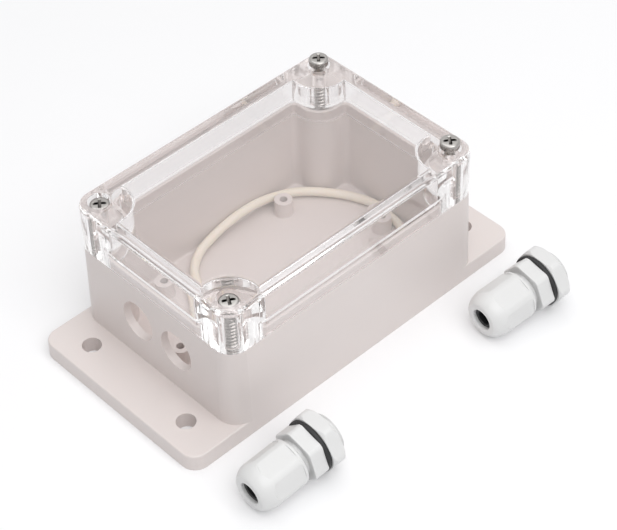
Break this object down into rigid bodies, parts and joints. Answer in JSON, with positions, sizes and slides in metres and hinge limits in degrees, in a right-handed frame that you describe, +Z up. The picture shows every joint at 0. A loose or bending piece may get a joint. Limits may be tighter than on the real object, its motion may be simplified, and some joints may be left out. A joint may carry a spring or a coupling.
{
  "type": "waterproof electronics enclosure with clear lid and cable glands",
  "caption": "Small moulded enclosure with fixing ears, a clear screwed lid over a sealing tongue, a loose seal cord inside, and cable glands lying beside it.",
  "frame": {"origin": "on the underside, midway between the four ear holes", "axes": "+X along the box, away from the gland holes; +Y towards the back, away from the loose glands; +Z up, out of the lid"},
  "size_m": [0.1322, 0.1001, 0.053],
  "materials": {
    "box_abs": "fine satin moulding, pale warm grey",
    "clear_lid": "clear polished moulding",
    "seal_silicone": "matt silicone, off-white",
    "screw_steel": "plain stainless, cross recess",
    "gland_nylon": "satin moulded nylon, white",
    "seal_rubber": "matt black rubber"
  },
  "bodies": {
    "box": {"base": "box_abs", "seal_cord": "seal_silicone"},
    "cover": {"lid": "clear_lid"},
    "front_left_screw": {"lid_screw_front_left": "screw_steel"},
    "back_left_screw": {"lid_screw_back_left": "screw_steel"},
    "back_right_screw": {"lid_screw_back_right": "screw_steel"},
    "front_right_screw": {"lid_screw_front_right": "screw_steel"},
    "gland_1_trunk": {"gland_1_body": "gland_nylon"},
    "gland_1_flat_seal": {"gland_1_washer": "seal_rubber"},
    "gland_1_back_nut": {"gland_1_lock_nut": "gland_nylon"},
    "gland_1_sleeve": {"gland_1_seal_insert": "seal_rubber"},
    "gland_1_cap": {"gland_1_dome_nut": "gland_nylon"},
    "gland_2_trunk": {"gland_2_body": "gland_nylon"},
    "gland_2_flat_seal": {"gland_2_washer": "seal_rubber"},
    "gland_2_back_nut": {"gland_2_lock_nut": "gland_nylon"},
    "gland_2_sleeve": {"gland_2_seal_insert": "seal_rubber"},
    "gland_2_cap": {"gland_2_dome_nut": "gland_nylon"}
  },
  "joints": [
    {"name": "lid_lift", "type": "slide", "parent": "box", "child": "cover", "axis": [0, 0, 1], "range_m": [0, 0.06]},
    {"name": "front_left_screw_out", "type": "slide", "parent": "cover", "child": "front_left_screw", "axis": [0, 0, 1], "range_m": [0, 0.026]},
    {"name": "back_left_screw_out", "type": "slide", "parent": "cover", "child": "back_left_screw", "axis": [0, 0, 1], "range_m": [0, 0.026]},
    {"name": "back_right_screw_out", "type": "slide", "parent": "cover", "child": "back_right_screw", "axis": [0, 0, 1], "range_m": [-0.0038, 0.0222]},
    {"name": "front_right_screw_out", "type": "slide", "parent": "cover", "child": "front_right_screw", "axis": [0, 0, 1], "range_m": [-0.0038, 0.0222]},
    {"name": "gland_1_lift", "type": "slide", "parent": "box", "child": "gland_1_trunk", "axis": [0, 0, 1], "range_m": [0, 0.06]},
    {"name": "gland_1_back_nut_turn", "type": "hinge", "parent": "gland_1_flat_seal", "child": "gland_1_back_nut", "pos_m": [-0.03761, -0.05495, 0.00883], "axis": [0.998, -0.0139, 0.062], "range_deg": [0, 1800]},
    {"name": "gland_1_back_nut_travel", "type": "slide", "parent": "gland_1_trunk", "child": "gland_1_flat_seal", "axis": [0.998, -0.0139, 0.062], "range_m": [0, 0.0063]},
    {"name": "gland_1_cap_turn", "type": "hinge", "parent": "gland_1_sleeve", "child": "gland_1_cap", "pos_m": [-0.05537, -0.0547, 0.00773], "axis": [-0.998, 0.0139, -0.062], "range_deg": [0, 1440]},
    {"name": "gland_1_cap_travel", "type": "slide", "parent": "gland_1_trunk", "child": "gland_1_sleeve", "axis": [-0.998, 0.0139, -0.062], "range_m": [0, 0.0059]},
    {"name": "gland_2_lift", "type": "slide", "parent": "box", "child": "gland_2_trunk", "axis": [0, 0, 1], "range_m": [0, 0.06]},
    {"name": "gland_2_back_nut_turn", "type": "hinge", "parent": "gland_2_flat_seal", "child": "gland_2_back_nut", "pos_m": [0.05569, -0.05592, 0.00883], "axis": [0.9962, -0.0627, 0.06], "range_deg": [0, 1800]},
    {"name": "gland_2_back_nut_travel", "type": "slide", "parent": "gland_2_trunk", "child": "gland_2_flat_seal", "axis": [0.9962, -0.0627, 0.06], "range_m": [0, 0.0063]},
    {"name": "gland_2_cap_turn", "type": "hinge", "parent": "gland_2_sleeve", "child": "gland_2_cap", "pos_m": [0.03795, -0.0548, 0.00776], "axis": [-0.9962, 0.0627, -0.06], "range_deg": [0, 1440]},
    {"name": "gland_2_cap_travel", "type": "slide", "parent": "gland_2_trunk", "child": "gland_2_sleeve", "axis": [-0.9962, 0.0627, -0.06], "range_m": [0, 0.0059]}
  ],
  "couplings": [
    {"joint": "gland_1_back_nut_turn", "follows": "gland_1_back_nut_travel", "rad_per_m": 4947.4},
    {"joint": "gland_1_cap_turn", "follows": "gland_1_cap_travel", "rad_per_m": 4188.8},
    {"joint": "gland_2_back_nut_turn", "follows": "gland_2_back_nut_travel", "rad_per_m": 4947.4},
    {"joint": "gland_2_cap_turn", "follows": "gland_2_cap_travel", "rad_per_m": 4188.8}
  ]
}
